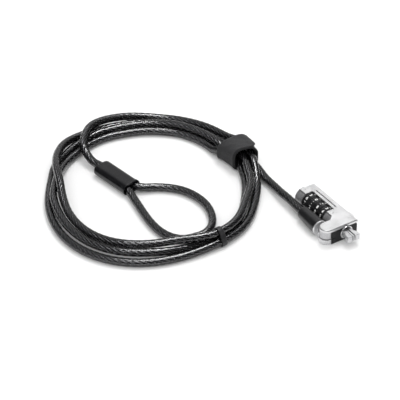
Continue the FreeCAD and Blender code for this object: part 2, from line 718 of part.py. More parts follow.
# ---------------------------------------------------------------- moving parts of the lock
def spindle():
    """Locking spindle: centre blade, cam block, shaft with four fins, spring stub."""
    blade = box((-BLADE_HALF, BLADE_HALF), (TIP_END, 7.0), (-1.6, 1.6))
    blade = blade.makeChamfer(0.3, edges_near(blade, lambda p: p.y < TIP_END + 0.01))
    cam = plate([(-2.4, 6.5), (1.6, 6.5), (4.5, 9.4), (4.5, 11.6), (-2.4, 11.6)], -1.6, 1.6)
    shaft = rod(SPINDLE_R, 11.2, 39.6)
    stub = rod(1.0, 39.0, 40.8)
    parts = [blade, cam, shaft, stub]
    for i in range(DIALS):
        start = dial_front(i) + WEB_THICK + 0.2
        parts.append(box((-0.5, 0.5), (start, start + 0.8), (SPINDLE_R - 0.3, 2.8)))
    return joined(parts)


def spindle_spring():
    return spring(1.45, 0.2, 39.65, 42.65, 3.0)


def jaw(side):
    """One jaw: eye on its pin inside the head, nose flaring to a hook outside."""
    x = JAW_PIN[0]
    y = JAW_PIN[1]
    outline = [(1.05, y - 0.4), (3.0, y - 0.4), (3.0, -2.4), (3.3, -3.4), (4.1, -4.8),
               (4.1, TIP_END + 0.5), (3.7, TIP_END), (1.35, TIP_END), (1.05, TIP_END + 0.3)]
    nose = plate(outline, -1.9, 1.9)
    eye = rod(1.2, -1.9, 1.9, UP, JAW_PIN)
    hole = rod(JAW_PIN_R + RUNNING, -3, 3, UP, (x, y))
    body = joined([nose, eye]).cut(hole)
    round_edges = edges_near(body, lambda p: abs(abs(p.z) - 1.9) < 0.01 and p.y < -2.5)
    body = body.makeChamfer(0.25, round_edges)
    if side < 0:
        body = body.mirror(V(0, 0, 0), ACROSS)
    return body


def push_button():
    """Cap in the right wall, with a wedge that drives the spindle back."""
    cap = box((6.5, 11.0), (6.8, 11.8), (-2.4, 3.0))
    outer = edges_near(cap, lambda p: p.x > 10.99 or (p.x > 8 and abs(p.y - 9.3) > 2.4))
    cap = cap.makeFillet(0.6, outer)
    wedge = plate([(2.6, 7.0), (6.6, 7.0), (6.6, 11.4), (6.55, 11.4), (2.6, 7.45)], -1.5, 1.5)
    lip = box((5.6, 6.3), (6.2, 7.4), (-1.5, 1.5))
    return joined([cap, wedge, lip])


# ---------------------------------------------------------------- write the pieces
def all_pieces():
    pieces = {
        "cable_jacket": cable_jacket(),
        "cable_core": cable_core(),
        "loop_ferrule": loop_ferrule(),
        "loop_cover": loop_cover(),
        "strap": strap(),
        "tie_band": tie_band(),
        "cable_end_stud": cable_end_stud(),
        "retaining_bush": retaining_bush(),
        "yoke": yoke(),
        "barrel_sleeve": barrel_sleeve(),
        "housing": housing(),
        "top_cover": top_cover(),
        "front_pad": front_pad(),
        "tip_collar": tip_collar(),
        "pivot_pin": pivot_pin(),
        "pivot_washer": pivot_washer(),
        "jaw_pins": jaw_pins(),
        "index_spring": index_spring(),
        "spindle_bush": spindle_bush(),
        "cover_screws": cover_screws(),
        "spindle": spindle(),
        "spindle_spring": spindle_spring(),
        "jaw_right": jaw(1),
        "jaw_left": jaw(-1),
        "push_button": push_button(),
    }
    for i in range(DIALS):
        pieces["dial_%d" % (i + 1)] = dial_ring(i)
        pieces["code_hub_%d" % (i + 1)] = code_hub(i)
    return pieces


os.makedirs("parts", exist_ok=True)
for name, shape in all_pieces().items():
    shape.exportStep("parts/%s.step" % name)
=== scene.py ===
import json
import math

import bpy
import numpy as np
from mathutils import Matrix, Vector


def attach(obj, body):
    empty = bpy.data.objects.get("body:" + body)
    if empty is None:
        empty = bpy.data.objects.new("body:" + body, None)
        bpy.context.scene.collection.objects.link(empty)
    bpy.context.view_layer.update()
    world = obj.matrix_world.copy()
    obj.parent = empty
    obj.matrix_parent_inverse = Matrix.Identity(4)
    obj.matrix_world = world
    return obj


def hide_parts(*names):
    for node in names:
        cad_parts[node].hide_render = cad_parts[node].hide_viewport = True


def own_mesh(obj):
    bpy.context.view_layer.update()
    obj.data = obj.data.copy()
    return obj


# Laptop cable lock.  Shapes are worked out in millimetres, in the part's own frame,
# and turned into metres when a mesh is made.
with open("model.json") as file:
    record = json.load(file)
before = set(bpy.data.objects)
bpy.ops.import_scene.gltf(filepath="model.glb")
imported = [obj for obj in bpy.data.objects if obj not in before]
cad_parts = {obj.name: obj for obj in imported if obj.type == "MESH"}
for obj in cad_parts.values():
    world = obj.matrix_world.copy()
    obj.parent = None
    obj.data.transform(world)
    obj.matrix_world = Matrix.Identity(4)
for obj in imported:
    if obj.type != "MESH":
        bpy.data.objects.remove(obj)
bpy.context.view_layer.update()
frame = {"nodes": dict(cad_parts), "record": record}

MM = 0.001
UP = np.array([0.0, 0.0, 1.0])

# ---------------------------------------------------------------- cable route
TABLE = -5.2
CABLE_R = 2.5
COIL_CENTRE = (-69.2, 103.7)
COIL_LEAN = math.radians(-35)
COIL_MEAN_R = 68.1
OVAL = (-5.9, 0.5)                 # how far the coil is from round: cosine, sine share
THREE_WAY = (1.6, 0.5)             # the same for three bulges round it
COIL_TURNS = range(27, 1214, 5)    # degrees of turn from where the cable joins the coil
SLACK_AT = 323                     # degrees round the coil where the slack bulges out
SLACK_WIDTH = 22                   # how wide the bulge is, in degrees
SLACK_REACH = 4.2                  # how far it bulges
PIVOT = (-10.5, 4.8)
BARREL_Z = -0.4
BARREL_TURN = math.radians(2.5)
COVER_ENDS = ((-31.1, 17.7), (-10.8, -3.4))
LOOP_COVER_R = 3.6
LEG_SIDE = 2.6
CABLE_START = 16                   # distances back along the barrel
JACKET_START = 20.2
BARREL_STEPS = (CABLE_START, JACKET_START, 24, 28, 32, 36, 40, 44)
BARREL_EXIT = (52, 0.5)            # a distance, and how far the cable has sunk there
TAIL = ((-7.4, 62, -1.9), (-6.4, 73, -2.4), (-5.2, 84, -1.2))
COVER_ENTRY = ((0.5, 1.3), (7, 2.5), (12, LEG_SIDE))
COVER_OUTWARD = (16, 20, 24, 26.5)
COVER_RETURN = (28, 24, 20, 16, 12)
# near and far rim: degrees of turn, centre inwards, half width, centre up, half height
STRAP_RIMS = ((22.0, 3.55, 8.1, 7.95, 7.8), (39.0, 5.65, 10.5, 6.15, 6.1))
STRAP_CORNERS = (0.667, 0.5)       # the smaller, the squarer: upper, lower corners

# (degrees of turn, inwards from the outer strand, up from the table)
FIRST_TURN = [
    (27, 0.2, 1.45), (34, 1.8, 1.35), (38, 2.7, 1.3), (43, 3.5, 0.8), (48, 4.5, 0.3),
    (52, 5.0, 0.1), (64, 5.1, 0.0), (77, 5.1, 0.0), (90, 5.4, 0.0),
    (108, 5.7, 0.0), (125, 2.6, 0.0), (135, 0.6, 1.2), (145, 0.0, 3.4), (155, 0.9, 5.4),
    (165, 2.4, 7.2), (175, 4.4, 8.6), (186, 6.8, 8.3), (198, 8.3, 6.2), (211, 9.5, 4.6),
    (225, 10.2, 4.6), (247, 10.3, 4.8), (270, 10.4, 5.2), (287, 9.4, 5.3),
    (298, 5.6, 5.6), (305, 3.3, 5.7), (309, 2.9, 5.7), (317, 2.9, 5.7), (338, 4.8, 5.3),
    (352, 3.8, 4.9),
]
SECOND_TURN = [
    (360, 3.5, 4.8), (368, 4.5, 5.8), (375, 5.1, 6.5), (382, 5.4, 6.6), (390, 8.2, 6.4),
    (394, 10.3, 5.7), (398, 11.95, 4.4), (403, 13.8, 1.9), (408, 14.0, 0.3), (412, 13.6, 0.0),
    (424, 13.3, 0.0), (435, 13.5, 0.0), (442, 14.3, 0.1), (450, 15.1, 0.3),
    (468, 15.2, 0.0), (485, 13.0, 0.0), (502, 10.4, 0.0), (510, 8.3, 0.0),
    (517, 6.8, 0.4), (525, 5.9, 1.8), (535, 4.9, 3.4), (546, 4.1, 3.9), (558, 3.2, 4.1),
    (571, 4.3, 3.4), (585, 5.0, 3.3), (607, 5.2, 3.2), (630, 5.25, 3.1), (640, 5.2, 2.5),
    (648, 5.2, 1.4), (658, 5.2, 0.5), (670, 5.2, 0.8), (680, 5.2, 0.7), (698, 6.2, 0.1),
]
THIRD_TURN = [
    (720, 6.6, 0.0), (735, 7.2, 0.6), (742, 7.6, 1.5), (750, 7.6, 1.3), (758, 7.85, 1.3),
    (763, 8.6, 1.5), (768, 9.2, 2.5), (772, 9.3, 2.9), (795, 9.4, 3.2),
    (802, 9.7, 2.9), (810, 10.1, 2.2), (828, 10.5, 1.9), (845, 7.6, 1.0),
    (855, 5.8, 0.1), (865, 4.1, 0.0), (871, 3.0, 0.0), (878, 1.4, 0.0), (886, 0.7, 0.0),
    (895, 0.9, 0.0), (906, 0.5, 0.0), (918, 0.0, 0.0), (945, 0.0, 0.0), (990, 0.0, 0.0),
    (1010, 0.0, 0.3), (1026, 0.0, 0.8), (1037, 0.0, 0.7), (1060, 0.0, 0.1),
]
LAST_PART = [
    (1080, -0.3, 0.9), (1088, 0.0, 2.9), (1095, 0.1, 5.6), (1101, -0.1, 6.7),
    (1110, -0.4, 6.6), (1118, -0.95, 4.95), (1123, -0.95, 3.4), (1128, -0.5, 1.75),
    (1132, -0.3, 1.3), (1145, -0.3, 0.9), (1157, -0.4, 0.2), (1170, 0.0, 0.2),
    (1188, 1.4, 3.3), (1205, 4.0, 6.2), (1216, 9.6, 6.3),
]
LANES = FIRST_TURN + SECOND_TURN + THIRD_TURN + LAST_PART
# from the coil to the loop cover, then the eye loop: (right, back, up) in the coil's axes
NECK = [(-42.1, 32.8, 4.7), (-38.9, 26.2, 2.8), (-35.0, 21.4, 1.6)]
EYE_LOOP = [
    (-5.2, -2.2, 0.7), (1.5, -1.4, 0.2), (9.4, -1.2, 0.0), (18.3, -3.2, 0.0),
    (27.3, -9.0, 0.0), (34.4, -18.1, 0.0), (38.0, -29.1, 0.0), (37.9, -38.5, 0.0),
    (34.6, -45.4, 0.0), (28.3, -49.6, 0.0), (21.0, -51.6, 0.0), (13.8, -49.3, 0.0),
    (6.4, -42.4, 0.0), (0.3, -32.6, 0.0), (-5.7, -20.0, 0.0), (-10.6, -9.5, 0.4),
]


def coil_point(right, back, up):
    """Place given in the coil's own axes, up from a cable lying on the table."""
    cos = math.cos(COIL_LEAN)
    sin = math.sin(COIL_LEAN)
    x = COIL_CENTRE[0] + cos * right - sin * back
    y = COIL_CENTRE[1] + sin * right + cos * back
    return np.array([x, y, TABLE + CABLE_R + up])


def coil_radius(turn):
    """Radius of the coil's outer strand: a rounded oval with a slack bulge."""
    oval = OVAL[0] * math.cos(2 * turn) + OVAL[1] * math.sin(2 * turn)
    bulge = THREE_WAY[0] * math.cos(3 * turn) + THREE_WAY[1] * math.sin(3 * turn)
    away = (math.degrees(turn) - SLACK_AT + 180) % 360 - 180
    slack = SLACK_REACH * math.exp(-((away / SLACK_WIDTH) ** 2))
    return COIL_MEAN_R + oval + bulge + slack


def lane(turn):
    """Smooth curve through the lane list: inwards and up at this angle."""
    i = 0
    while i < len(LANES) - 2 and LANES[i + 1][0] <= turn:
        i += 1
    before = LANES[max(i - 1, 0)]
    low = LANES[i]
    high = LANES[i + 1]
    after = LANES[min(i + 2, len(LANES) - 1)]
    width = high[0] - low[0]
    s = (turn - low[0]) / width
    values = []
    for k in (1, 2):
        slope_low = (high[k] - before[k]) / (high[0] - before[0]) * width
        slope_high = (after[k] - low[k]) / (after[0] - low[0]) * width
        start_part = (2 * s**3 - 3 * s**2 + 1) * low[k] + (s**3 - 2 * s**2 + s) * slope_low
        end_part = (3 * s**2 - 2 * s**3) * high[k] + (s**3 - s**2) * slope_high
        values.append(start_part + end_part)
    return values


def strand_point(turn, inwards, up):
    """Place on the coil, inwards from its outer strand."""
    angle = math.radians(turn)
    radius = coil_radius(angle) - inwards
    return coil_point(radius * math.cos(angle), radius * math.sin(angle), up)


def cover_frame():
    """Start, direction and sideways direction of the loop cover."""
    start = coil_point(COVER_ENDS[0][0], COVER_ENDS[0][1], LOOP_COVER_R - CABLE_R)
    end = coil_point(COVER_ENDS[1][0], COVER_ENDS[1][1], LOOP_COVER_R - CABLE_R)
    ahead = (end - start) / np.linalg.norm(end - start)
    return start, ahead, np.cross(UP, ahead)


def cover_point(distance, side):
    """Place along the loop cover's middle line and to one side of it."""
    start, ahead, sideways = cover_frame()
    return start + ahead * distance + sideways * side


def barrel_point(distance, drop=0.0):
    """Place along the barrel's middle line."""
    reach = distance - PIVOT[1]
    x = PIVOT[0] + reach * math.sin(BARREL_TURN)
    y = PIVOT[1] + reach * math.cos(BARREL_TURN)
    return np.array([x, y, BARREL_Z - drop])


def cable_points():
    """Every place that the cable's middle line passes through, from barrel to loop end."""
    points = [barrel_point(y) for y in BARREL_STEPS]
    points.append(barrel_point(*BARREL_EXIT))
    points += [np.array(p) for p in TAIL]
    for turn in COIL_TURNS:
        inwards, up = lane(turn)
        points.append(strand_point(turn, inwards, max(up, 0.0)))
    points += [coil_point(*p) for p in NECK]
    points += [cover_point(d, s) for d, s in COVER_ENTRY]
    points += [cover_point(d, LEG_SIDE) for d in COVER_OUTWARD]
    points += [coil_point(*p) for p in EYE_LOOP]
    points += [cover_point(d, -LEG_SIDE) for d in COVER_RETURN]
    return np.array(points)


def spline(points):
    """Cubic spline with smooth curvature through points; returns knots and slopes."""
    knots = np.concatenate([[0], np.cumsum(np.linalg.norm(np.diff(points, axis=0), axis=1))])
    h = np.diff(knots)
    n = len(points)
    rows = np.zeros((n, n))
    right = np.zeros((n, 3))
    chord = np.diff(points, axis=0) / h[:, None]
    rows[0, 0] = 2 * h[0]
    rows[0, 1] = h[0]
    right[0] = 3 * chord[0] * h[0]
    rows[-1, -1] = 2 * h[-1]
    rows[-1, -2] = h[-1]
    right[-1] = 3 * chord[-1] * h[-1]
    for i in range(1, n - 1):
        rows[i, i - 1] = h[i]
        rows[i, i] = 2 * (h[i - 1] + h[i])
        rows[i, i + 1] = h[i - 1]
        right[i] = 3 * (h[i] * chord[i - 1] + h[i - 1] * chord[i])
    return knots, np.linalg.solve(rows, right)


def along(points, knots, slopes, at):
    """Places and directions on the spline."""
    i = np.clip(np.searchsorted(knots, at, side="right") - 1, 0, len(points) - 2)
    h = (knots[i + 1] - knots[i])[:, None]
    s = (at - knots[i])[:, None] / h
    p0 = points[i]
    p1 = points[i + 1]
    m0 = slopes[i] * h
    m1 = slopes[i + 1] * h
    place = ((2 * s**3 - 3 * s**2 + 1) * p0 + (s**3 - 2 * s**2 + s) * m0
             + (3 * s**2 - 2 * s**3) * p1 + (s**3 - s**2) * m1)
    ahead = ((6 * s**2 - 6 * s) * p0 + (3 * s**2 - 4 * s + 1) * m0
             + (6 * s - 6 * s**2) * p1 + (3 * s**2 - 2 * s) * m1)
    return place, ahead / np.linalg.norm(ahead, axis=1)[:, None]


# ---------------------------------------------------------------- mesh helpers
def mesh_object(name, verts, faces, body, material, smooth=True, lay=None):
    """Object from corners in millimetres; lay is how far along and round each lies."""
    mesh = bpy.data.meshes.new(name)
    mesh.from_pydata((np.asarray(verts) * MM).tolist(), [], faces)
    mesh.validate()
    if lay is not None:
        store = mesh.attributes.new("lay", "FLOAT_VECTOR", "POINT")
        store.data.foreach_set("vector", np.asarray(lay, dtype=np.float32).ravel())
    mesh.polygons.foreach_set("use_smooth", [smooth] * len(mesh.polygons))
    mesh.materials.append(material)
    obj = bpy.data.objects.new(name, mesh)
    bpy.context.scene.collection.objects.link(obj)
    if body:
        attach(obj, body)
    return obj


def square_frames(ahead):
    """Level and upright directions across each step of a line."""
    level = np.cross(np.broadcast_to(UP, ahead.shape), ahead)
    level /= np.linalg.norm(level, axis=1)[:, None]
    return level, np.cross(ahead, level)


def tube_rings(places, ahead, reach):
    """Rings of points round a line of places; reach is (places, sides)."""
    level, upright = square_frames(ahead)
    sides = reach.shape[1]
    angle = np.arange(sides) * 2 * math.pi / sides
    across = level[:, None, :] * np.cos(angle)[None, :, None]
    across = across + upright[:, None, :] * np.sin(angle)[None, :, None]
    return places[:, None, :] + across * reach[:, :, None]


def skin_faces(rings, sides, first=0):
    """Side faces and two end caps of a tube made of rings."""
    faces = []
    for i in range(rings - 1):
        low = first + i * sides
        high = low + sides
        for k in range(sides):
            j = (k + 1) % sides
            faces.append((low + k, low + j, high + j, high + k))
    faces.append(tuple(first + k for k in reversed(range(sides))))
    last = first + (rings - 1) * sides
    faces.append(tuple(last + k for k in range(sides)))
    return faces


# ---------------------------------------------------------------- materials
BEVEL_SAMPLES = 4


class Nodes:
    """Small helper round one material's node tree."""

    def __init__(self, name):
        self.material = bpy.data.materials.new(name)
        self.material.use_nodes = True
        self.tree = self.material.node_tree
        self.tree.nodes.clear()
        self.out = self.tree.nodes.new("ShaderNodeOutputMaterial")
        self.place = self.tree.nodes.new("ShaderNodeTexCoord").outputs["Object"]

    def add(self, kind, **values):
        node = self.tree.nodes.new(kind)
        for key, value in values.items():
            if hasattr(node, key):
                setattr(node, key, value)
            else:
                node.inputs[key.replace("_", " ")].default_value = value
        return node

    def link(self, source, target):
        self.tree.links.new(source, target)

    def lay(self):
        """How far along and round the piece a point lies."""
        node = self.add("ShaderNodeAttribute")
        node.attribute_name = "lay"
        return node.outputs["Vector"]

    def stretched(self, scale):
        """Object place, stretched to draw a pattern out along one direction."""
        node = self.add("ShaderNodeMapping")
        node.inputs["Scale"].default_value = scale
        self.link(self.place, node.inputs["Vector"])
        return node.outputs["Vector"]

    def noise(self, scale, detail=3.0, rough=0.55, vector=None):
        node = self.add("ShaderNodeTexNoise", Scale=scale, Detail=detail, Roughness=rough)
        self.link(vector or self.place, node.inputs["Vector"])
        return node.outputs["Fac"]

    def ramp(self, source, low, high, from_low=0.3, from_high=0.7):
        node = self.add("ShaderNodeMapRange")
        node.inputs["From Min"].default_value = from_low
        node.inputs["From Max"].default_value = from_high
        node.inputs["To Min"].default_value = low
        node.inputs["To Max"].default_value = high
        self.link(source, node.inputs["Value"])
        return node.outputs["Result"]

    def math(self, kind, a, b):
        node = self.add("ShaderNodeMath", operation=kind)
        for socket, value in zip(node.inputs, (a, b)):
            if isinstance(value, (int, float)):
                socket.default_value = value
            else:
                self.link(value, socket)
        return node.outputs[0]

    def colour_mix(self, factor, a, b):
        node = self.add("ShaderNodeMix", data_type="RGBA")
        self.link(factor, node.inputs["Factor"])
        for socket, value in ((node.inputs["A"], a), (node.inputs["B"], b)):
            if isinstance(value, tuple):
                socket.default_value = (*value, 1.0)
            else:
                self.link(value, socket)
        return node.outputs["Result"]

    def bump(self, height, strength, distance, normal=None):
        node = self.add("ShaderNodeBump", Strength=strength, Distance=distance)
        self.link(height, node.inputs["Height"])
        if normal:
            self.link(normal, node.inputs["Normal"])
        return node.outputs["Normal"]

    def edge_mask(self, radius):
        """Near 1 where the shape turns an edge."""
        soft = self.add("ShaderNodeBevel", samples=BEVEL_SAMPLES, Radius=radius)
        true = self.add("ShaderNodeNewGeometry")
        dot = self.add("ShaderNodeVectorMath", operation="DOT_PRODUCT")
        self.link(soft.outputs["Normal"], dot.inputs[0])
        self.link(true.outputs["Normal"], dot.inputs[1])
        return self.ramp(dot.outputs["Value"], 1.0, 0.0, 0.8, 0.995)

    def surface(self, colour, rough, normal=None, **values):
        node = self.add("ShaderNodeBsdfPrincipled", **values)
        for socket, value in ((node.inputs["Base Color"], colour),
                              (node.inputs["Roughness"], rough)):
            if isinstance(value, tuple):
                socket.default_value = (*value, 1.0)
            elif isinstance(value, (int, float)):
                socket.default_value = value
            else:
                self.link(value, socket)
        if normal:
            self.link(normal, node.inputs["Normal"])
        return node.outputs["BSDF"]

    def finish(self, shader):
        self.link(shader, self.out.inputs["Surface"])
        return self.material


def soft_edge(n, radius):
    """Normal that rounds off sharp edges."""
    return n.add("ShaderNodeBevel", samples=BEVEL_SAMPLES, Radius=radius).outputs["Normal"]


def metal(name, dark, light, rough, edge_wear_and_highlight=0.25, brush=None, bevel=0.12, shine=1.0):
    """Satin or brushed metal with fine scratches; its edges are painted lighter, part wear and
    part painted highlight.
    """
    n = Nodes(name)
    vector = n.stretched(brush) if brush else n.place
    fine = n.noise(9000 if not brush else 2600, 4, 0.6, vector)
    cloud = n.noise(160, 3, 0.5)
    colour = n.colour_mix(n.ramp(cloud, 0.0, 1.0), dark, light)
    edge = n.edge_mask(bevel * MM)
    # edges mixed towards near white: part wear, part painted highlight
    worn = n.colour_mix(n.math("MULTIPLY", edge, edge_wear_and_highlight), colour, (0.95, 0.95, 0.95))
    roughness = n.math("ADD", n.ramp(fine, rough - 0.06, rough + 0.07), n.ramp(cloud, -0.03, 0.03))
    normal = n.bump(fine, 0.08, 0.00004, soft_edge(n, bevel * MM))
    return n.finish(n.surface(worn, roughness, normal, Metallic=shine))


def plastic(name, dark, light, rough, grain_scale=5200, grain=0.25, coat=0.0, bevel=0.15):
    """Moulded plastic or rubber with a fine spark-eroded grain and rubbed edges."""
    n = Nodes(name)
    fine = n.noise(grain_scale, 3, 0.6)
    cloud = n.noise(220, 3, 0.5)
    colour = n.colour_mix(n.ramp(cloud, 0.0, 1.0), dark, light)
    edge = n.edge_mask(bevel * MM)
    rubbed = tuple(min(1.0, 1.6 * c + 0.004) for c in light)
    worn = n.colour_mix(n.math("MULTIPLY", edge, 0.5), colour, rubbed)
    roughness = n.math("SUBTRACT", n.ramp(fine, rough - 0.05, rough + 0.08),
                       n.math("MULTIPLY", edge, 0.1))
    normal = n.bump(fine, grain, 0.00005, soft_edge(n, bevel * MM))
    return n.finish(n.surface(worn, roughness, normal, Coat_Weight=coat, Specular_IOR_Level=0.35))


def vinyl(name):
    """Smoky clear vinyl: dark, glossy, and thin enough to show the rope inside."""
    n = Nodes(name)
    cloud = n.noise(90, 3, 0.5)
    colour = n.colour_mix(n.ramp(cloud, 0.0, 1.0), (0.003, 0.003, 0.0035), (0.008, 0.008, 0.009))
    wave = n.bump(n.noise(700, 2, 0.5), 0.02, 0.0001)
    skin = n.surface(colour, n.ramp(n.noise(1500, 3), 0.05, 0.09), wave, IOR=1.5)
    clear = n.add("ShaderNodeBsdfTransparent")
    clear.inputs["Color"].default_value = (0.6, 0.6, 0.61, 1)
    gloss = n.add("ShaderNodeBsdfGlossy", Roughness=0.06)
    n.link(wave, gloss.inputs["Normal"])
    gloss.inputs["Color"].default_value = (1, 1, 1, 1)
    fresnel = n.add("ShaderNodeFresnel", IOR=1.5)
    n.link(wave, fresnel.inputs["Normal"])
    window = n.add("ShaderNodeMixShader")
    n.link(fresnel.outputs[0], window.inputs[0])
    n.link(clear.outputs[0], window.inputs[1])
    n.link(gloss.outputs[0], window.inputs[2])
    both = n.add("ShaderNodeMixShader")
    both.inputs[0].default_value = 0.35
    n.link(window.outputs[0], both.inputs[1])
    n.link(skin, both.inputs[2])
    return n.finish(both.outputs[0])


def rope_wire(name):
    """Bright wire rope: fine wires lie slantwise round every strand, with painted shade darker in
    the grooves between wires and near black in the gaps between strands.
    """
    n = Nodes(name)
    split = n.add("ShaderNodeSeparateXYZ")
    n.link(n.lay(), split.inputs[0])
    wires = n.math("ADD", n.math("MULTIPLY", split.outputs["X"], 4.83), split.outputs["Y"])
    ridge = n.math("SINE", wires, 0.0)
    # painted shade mask: 0 deep in the gaps between strands, 1 on their outer crowns
    crown_vs_gap_shade = n.ramp(split.outputs["Z"], 0.0, 1.0, 1.4, 1.74)
    height = n.ramp(ridge, 0.0, 1.0, -1.0, 1.0)
    # painted shade: wire colour darker in the grooves between wires
    wire_tone_with_groove_shade = n.colour_mix(height, (0.62, 0.62, 0.63), (0.9, 0.9, 0.91))
    grime = n.noise(1200, 3, 0.6)
    # painted shade: near black in the gaps between strands
    colour = n.colour_mix(n.math("MULTIPLY", crown_vs_gap_shade, crown_vs_gap_shade), (0.01, 0.01, 0.011), wire_tone_with_groove_shade)
    normal = n.bump(height, 0.1, 0.0001)
    return n.finish(n.surface(colour, n.ramp(grime, 0.2, 0.3), normal, Metallic=0.85))


def woven(name):
    """Black hook-and-loop tape: a fine twill with lighter fibre tips."""
    n = Nodes(name)
    split = n.add("ShaderNodeSeparateXYZ")
    n.link(n.lay(), split.inputs[0])
    slant = n.math("ADD", split.outputs["X"], split.outputs["Y"])
    cross = n.math("SUBTRACT", split.outputs["X"], split.outputs["Y"])
    twill = n.math("SINE", n.math("MULTIPLY", slant, 6.5), 0.0)
    thread = n.math("SINE", n.math("MULTIPLY", cross, 15.0), 0.0)
    fuzz = n.noise(5200, 5, 0.75)
    weave = n.math("ADD", n.math("MULTIPLY", twill, 0.16), n.math("MULTIPLY", thread, 0.08))
    mix = n.math("ADD", fuzz, weave)
    tips = n.ramp(mix, 0.0, 1.0, 0.3, 0.75)
    colour = n.colour_mix(tips, (0.005, 0.005, 0.006), (0.034, 0.034, 0.036))
    normal = n.bump(mix, 0.9, 0.0002)
    return n.finish(n.surface(colour, 0.85, normal, Sheen_Weight=0.08, Sheen_Roughness=0.4))


def white_print(name):
    """Slightly worn white paint."""
    n = Nodes(name)
    fade = n.noise(2500, 4, 0.6)
    colour = n.colour_mix(n.ramp(fade, 0.0, 1.0), (0.9, 0.9, 0.89), (0.98, 0.98, 0.97))
    return n.finish(n.surface(colour, n.ramp(fade, 0.4, 0.6), n.bump(fade, 0.2, 0.00003)))


VINYL = vinyl("vinyl_smoky")
ROPE = rope_wire("rope_wire")
STRAP = woven("strap_fabric_finish")
TIE = plastic("tie_rubber_finish", (0.010, 0.010, 0.011), (0.03, 0.03, 0.032), 0.5)
PRINT = white_print("digit_print")

# A metal's fifth number is how much its edges are painted lighter: part wear, part painted
# highlight.
FINISHES = {
    "crimp_metal": metal("crimp_finish", (0.5, 0.5, 0.51), (0.68, 0.68, 0.7), 0.42),
    "moulded_black": plastic("moulded_finish", (0.004, 0.004, 0.005), (0.009, 0.009, 0.01), 0.2,
                             grain=0.05, coat=0.1),
    "stud_steel": metal("stud_finish", (0.45, 0.45, 0.46), (0.62, 0.62, 0.63), 0.3),
    "bush_brass": metal("bush_finish", (0.55, 0.4, 0.17), (0.75, 0.58, 0.3), 0.3),
    "yoke_metal": metal("yoke_finish", (0.6, 0.6, 0.61), (0.72, 0.72, 0.73), 0.3, 0.5,
                        shine=0.6),
    "sleeve_black": plastic("sleeve_finish", (0.006, 0.006, 0.007), (0.012, 0.012, 0.013), 0.3,
                            grain=0.08, coat=0.3),
    "housing_metal": metal("housing_finish", (0.4, 0.4, 0.41), (0.5, 0.5, 0.51), 0.28, 0.5,
                           shine=0.75),
    "cover_metal": metal("cover_finish", (0.66, 0.66, 0.665), (0.72, 0.72, 0.725), 0.32, 0.9),
    "pad_black": plastic("pad_finish", (0.008, 0.008, 0.009), (0.015, 0.015, 0.016), 0.6),
    "bright_ring": metal("ring_finish", (0.75, 0.75, 0.76), (0.88, 0.88, 0.89), 0.14, 0.4),
    "pin_steel": metal("pin_finish", (0.55, 0.55, 0.56), (0.7, 0.7, 0.71), 0.28),
    "washer_dark": plastic("washer_finish", (0.02, 0.02, 0.02), (0.035, 0.035, 0.036), 0.5),
    "spring_steel": metal("spring_finish", (0.5, 0.5, 0.51), (0.65, 0.65, 0.66), 0.3),
    "tip_steel": metal("tip_finish", (0.5, 0.5, 0.51), (0.64, 0.64, 0.65), 0.3, 0.5, shine=0.7),
    "dial_black": plastic("dial_finish", (0.006, 0.006, 0.007), (0.014, 0.014, 0.015), 0.34),
    "hub_brass": metal("hub_finish", (0.55, 0.4, 0.17), (0.75, 0.58, 0.3), 0.3),
    "button_metal": metal("button_finish", (0.68, 0.68, 0.69), (0.85, 0.85, 0.86), 0.34, 0.5),
}
NODE_SLOT = {row["node"]: row["material_slot"] for row in frame["record"]["subparts"]}


def dress_cad():
    """Give every node of the frame the finish of its material slot."""
    for node, obj in frame["nodes"].items():
        finish = FINISHES.get(NODE_SLOT[node])
        if finish is None:
            continue
        if not obj.material_slots:
            obj.data.materials.append(finish)
        for place in obj.material_slots:
            place.material = finish


# ---------------------------------------------------------------- cable
RIPPLE = 0.05                      # how far the rope's strands show through the vinyl
ROPE_PITCH = 24.0                  # one full turn of the rope's lay
ROPE_STRANDS = 6
STRAND_OUT = 1.18                  # from the cable's middle to a strand's middle
STRAND_R = 0.57
STRAND_SHIFT = 0.37                # moves the wires on from one strand to the next
ROPE_END_GAP = 0.3                 # the rope stops this far inside the vinyl
VINYL_SIDES = 24
STRAND_SIDES = 10


def make_vinyl(points, knots, slopes):
    """A closed skin with the rope's strands just showing through."""
    start = float(np.linalg.norm(barrel_point(JACKET_START) - barrel_point(CABLE_START)))
    end = knots[-1]
    steps = int((end - start) / (0.6))
    at = np.linspace(start, end, steps)
    places, ahead = along(points, knots, slopes, at)
    angle = np.arange(VINYL_SIDES) * 2 * math.pi / VINYL_SIDES
    twist = at[:, None] * 2 * math.pi / ROPE_PITCH
    lobes = np.cos(ROPE_STRANDS * (angle[None, :] - twist))
    reach = CABLE_R - RIPPLE + RIPPLE * lobes
    rings = tube_rings(places, ahead, reach)
    skin = mesh_object("cable_vinyl", rings.reshape(-1, 3), skin_faces(steps, VINYL_SIDES),
                       "cable_coil", VINYL)
    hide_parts("cable_jacket")


